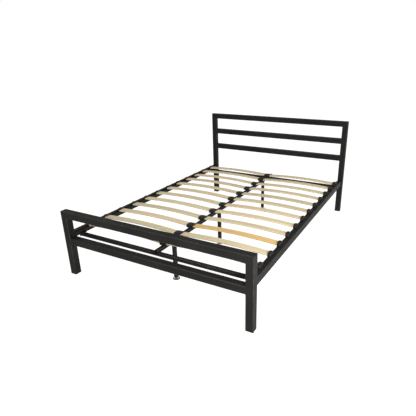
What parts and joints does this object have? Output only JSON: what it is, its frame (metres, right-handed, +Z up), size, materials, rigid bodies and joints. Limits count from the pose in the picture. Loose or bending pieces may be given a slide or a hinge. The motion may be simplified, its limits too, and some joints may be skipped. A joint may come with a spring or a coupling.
{
  "type": "metal bed frame",
  "caption": "Double bed frame of square steel tube with a slatted headboard, low footboard, sprung beech slats in plastic holders and screw-adjustable centre legs.",
  "frame": {"origin": "middle of the bed's footprint, on the floor", "axes": "+X to the right seen from the footboard, +Y along the bed towards the headboard, +Z up"},
  "size_m": [1.45, 2.1, 0.885],
  "materials": {
    "powder_coated_steel": "satin charcoal-black powder coat",
    "foot_plug": "moulded black plastic",
    "leg_insert": "moulded black plastic",
    "leg_glide": "moulded black plastic on a screw stem",
    "slat_holder": "moulded black plastic, lightly textured",
    "beech": "clear-lacquered laminated beech",
    "honey_beech": "clear-lacquered laminated beech, warmer tone"
  },
  "bodies": {
    "bed": {"headboard_post_left": "powder_coated_steel", "headboard_post_right": "powder_coated_steel", "headboard_top_rail": "powder_coated_steel", "headboard_middle_rail": "powder_coated_steel", "headboard_lower_rail": "powder_coated_steel", "footboard_post_left": "powder_coated_steel", "footboard_post_right": "powder_coated_steel", "footboard_top_rail": "powder_coated_steel", "footboard_lower_rail": "powder_coated_steel", "side_rail_left": "powder_coated_steel", "side_rail_right": "powder_coated_steel", "slat_ledge_left": "powder_coated_steel", "slat_ledge_right": "powder_coated_steel", "crossbar_foot": "powder_coated_steel", "crossbar_head": "powder_coated_steel", "crossbar_bracket_foot_left": "powder_coated_steel", "crossbar_bracket_foot_right": "powder_coated_steel", "crossbar_bracket_head_left": "powder_coated_steel", "crossbar_bracket_head_right": "powder_coated_steel", "centre_rail": "powder_coated_steel", "centre_leg_foot": "powder_coated_steel", "centre_leg_middle": "powder_coated_steel", "centre_leg_head": "powder_coated_steel", "headboard_foot_plug_left": "foot_plug", "headboard_foot_plug_right": "foot_plug", "footboard_foot_plug_left": "foot_plug", "footboard_foot_plug_right": "foot_plug", "leg_insert_foot": "leg_insert", "leg_insert_middle": "leg_insert", "leg_insert_head": "leg_insert", "slat_holders_left": "slat_holder", "slat_holders_right": "slat_holder", "slat_holders_centre": "slat_holder", "slat_left_01": "beech", "slat_left_02": "beech", "slat_left_03": "beech", "slat_left_04": "beech", "slat_left_05": "beech", "slat_left_06": "beech", "slat_left_07": "beech", "slat_left_08": "beech", "slat_left_09": "beech", "slat_left_10": "beech", "slat_left_11": "beech", "slat_left_12": "beech", "slat_right_01": "beech", "slat_right_02": "beech", "slat_right_03": "honey_beech", "slat_right_04": "beech", "slat_right_05": "beech", "slat_right_06": "beech", "slat_right_07": "beech", "slat_right_08": "beech", "slat_right_09": "beech", "slat_right_10": "beech", "slat_right_11": "beech", "slat_right_12": "beech"},
    "glide_foot": {"leg_glide_foot": "leg_glide"},
    "glide_middle": {"leg_glide_middle": "leg_glide"},
    "glide_head": {"leg_glide_head": "leg_glide"}
  },
  "joints": [
    {"name": "foot_glide_travel", "type": "slide", "parent": "bed", "child": "glide_foot", "axis": [0, 0, 1], "range_m": [-0.01, 0.006]},
    {"name": "middle_glide_travel", "type": "slide", "parent": "bed", "child": "glide_middle", "axis": [0, 0, 1], "range_m": [-0.01, 0.006]},
    {"name": "head_glide_travel", "type": "slide", "parent": "bed", "child": "glide_head", "axis": [0, 0, 1], "range_m": [-0.01, 0.006]}
  ]
}
